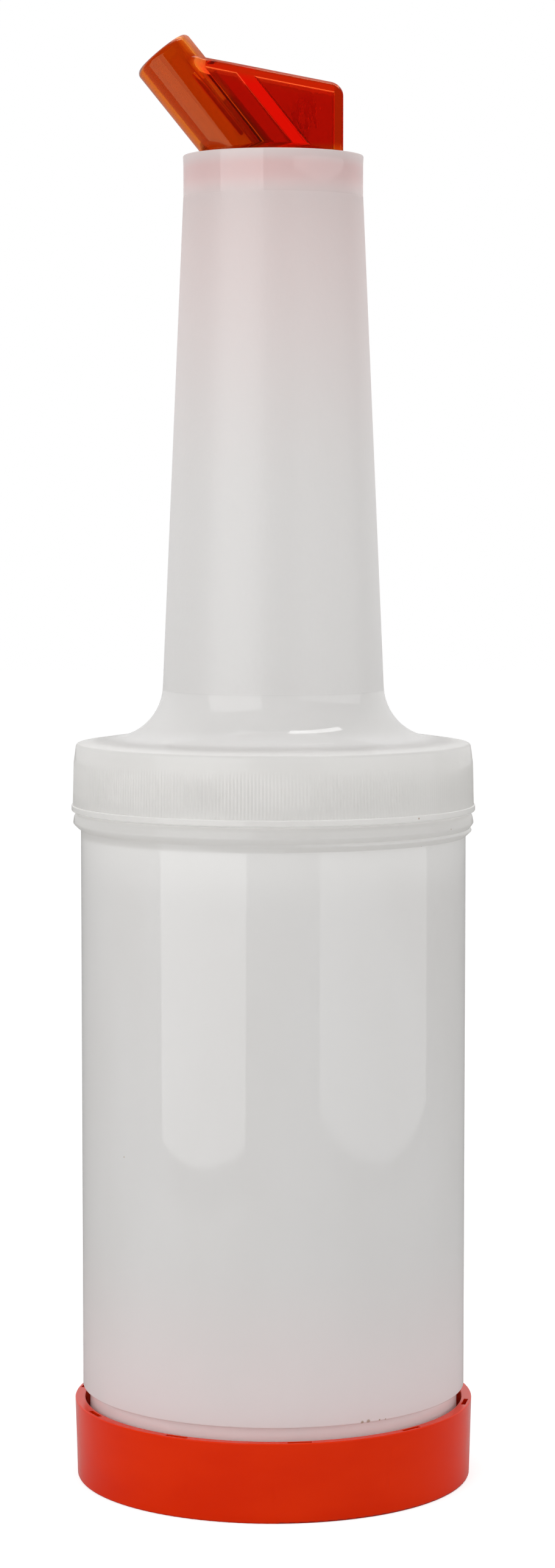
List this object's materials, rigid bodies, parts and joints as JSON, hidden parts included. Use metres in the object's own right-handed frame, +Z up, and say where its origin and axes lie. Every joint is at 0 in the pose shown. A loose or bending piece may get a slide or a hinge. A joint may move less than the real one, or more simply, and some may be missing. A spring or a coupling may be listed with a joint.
{
  "type": "pour bottle",
  "caption": "Translucent plastic jar with a slim screw-on pouring neck, a leaning push-in spout with a fin behind it, and a storage cap worn under the base.",
  "frame": {"origin": "middle of the base cap's flat underside", "axes": "+Z up along the bottle, -Y is the front, the spout leans towards -X"},
  "size_m": [0.0908, 0.0908, 0.3239],
  "materials": {
    "base_cap": "glossy opaque orange-red",
    "jar": "satin translucent natural polyethylene",
    "neck": "satin translucent natural polyethylene, finely ribbed skirt",
    "spout": "clear orange-red"
  },
  "bodies": {
    "root": {"base_cap": "base_cap", "jar": "jar", "neck": "neck", "spout": "spout"}
  },
  "joints": []
}
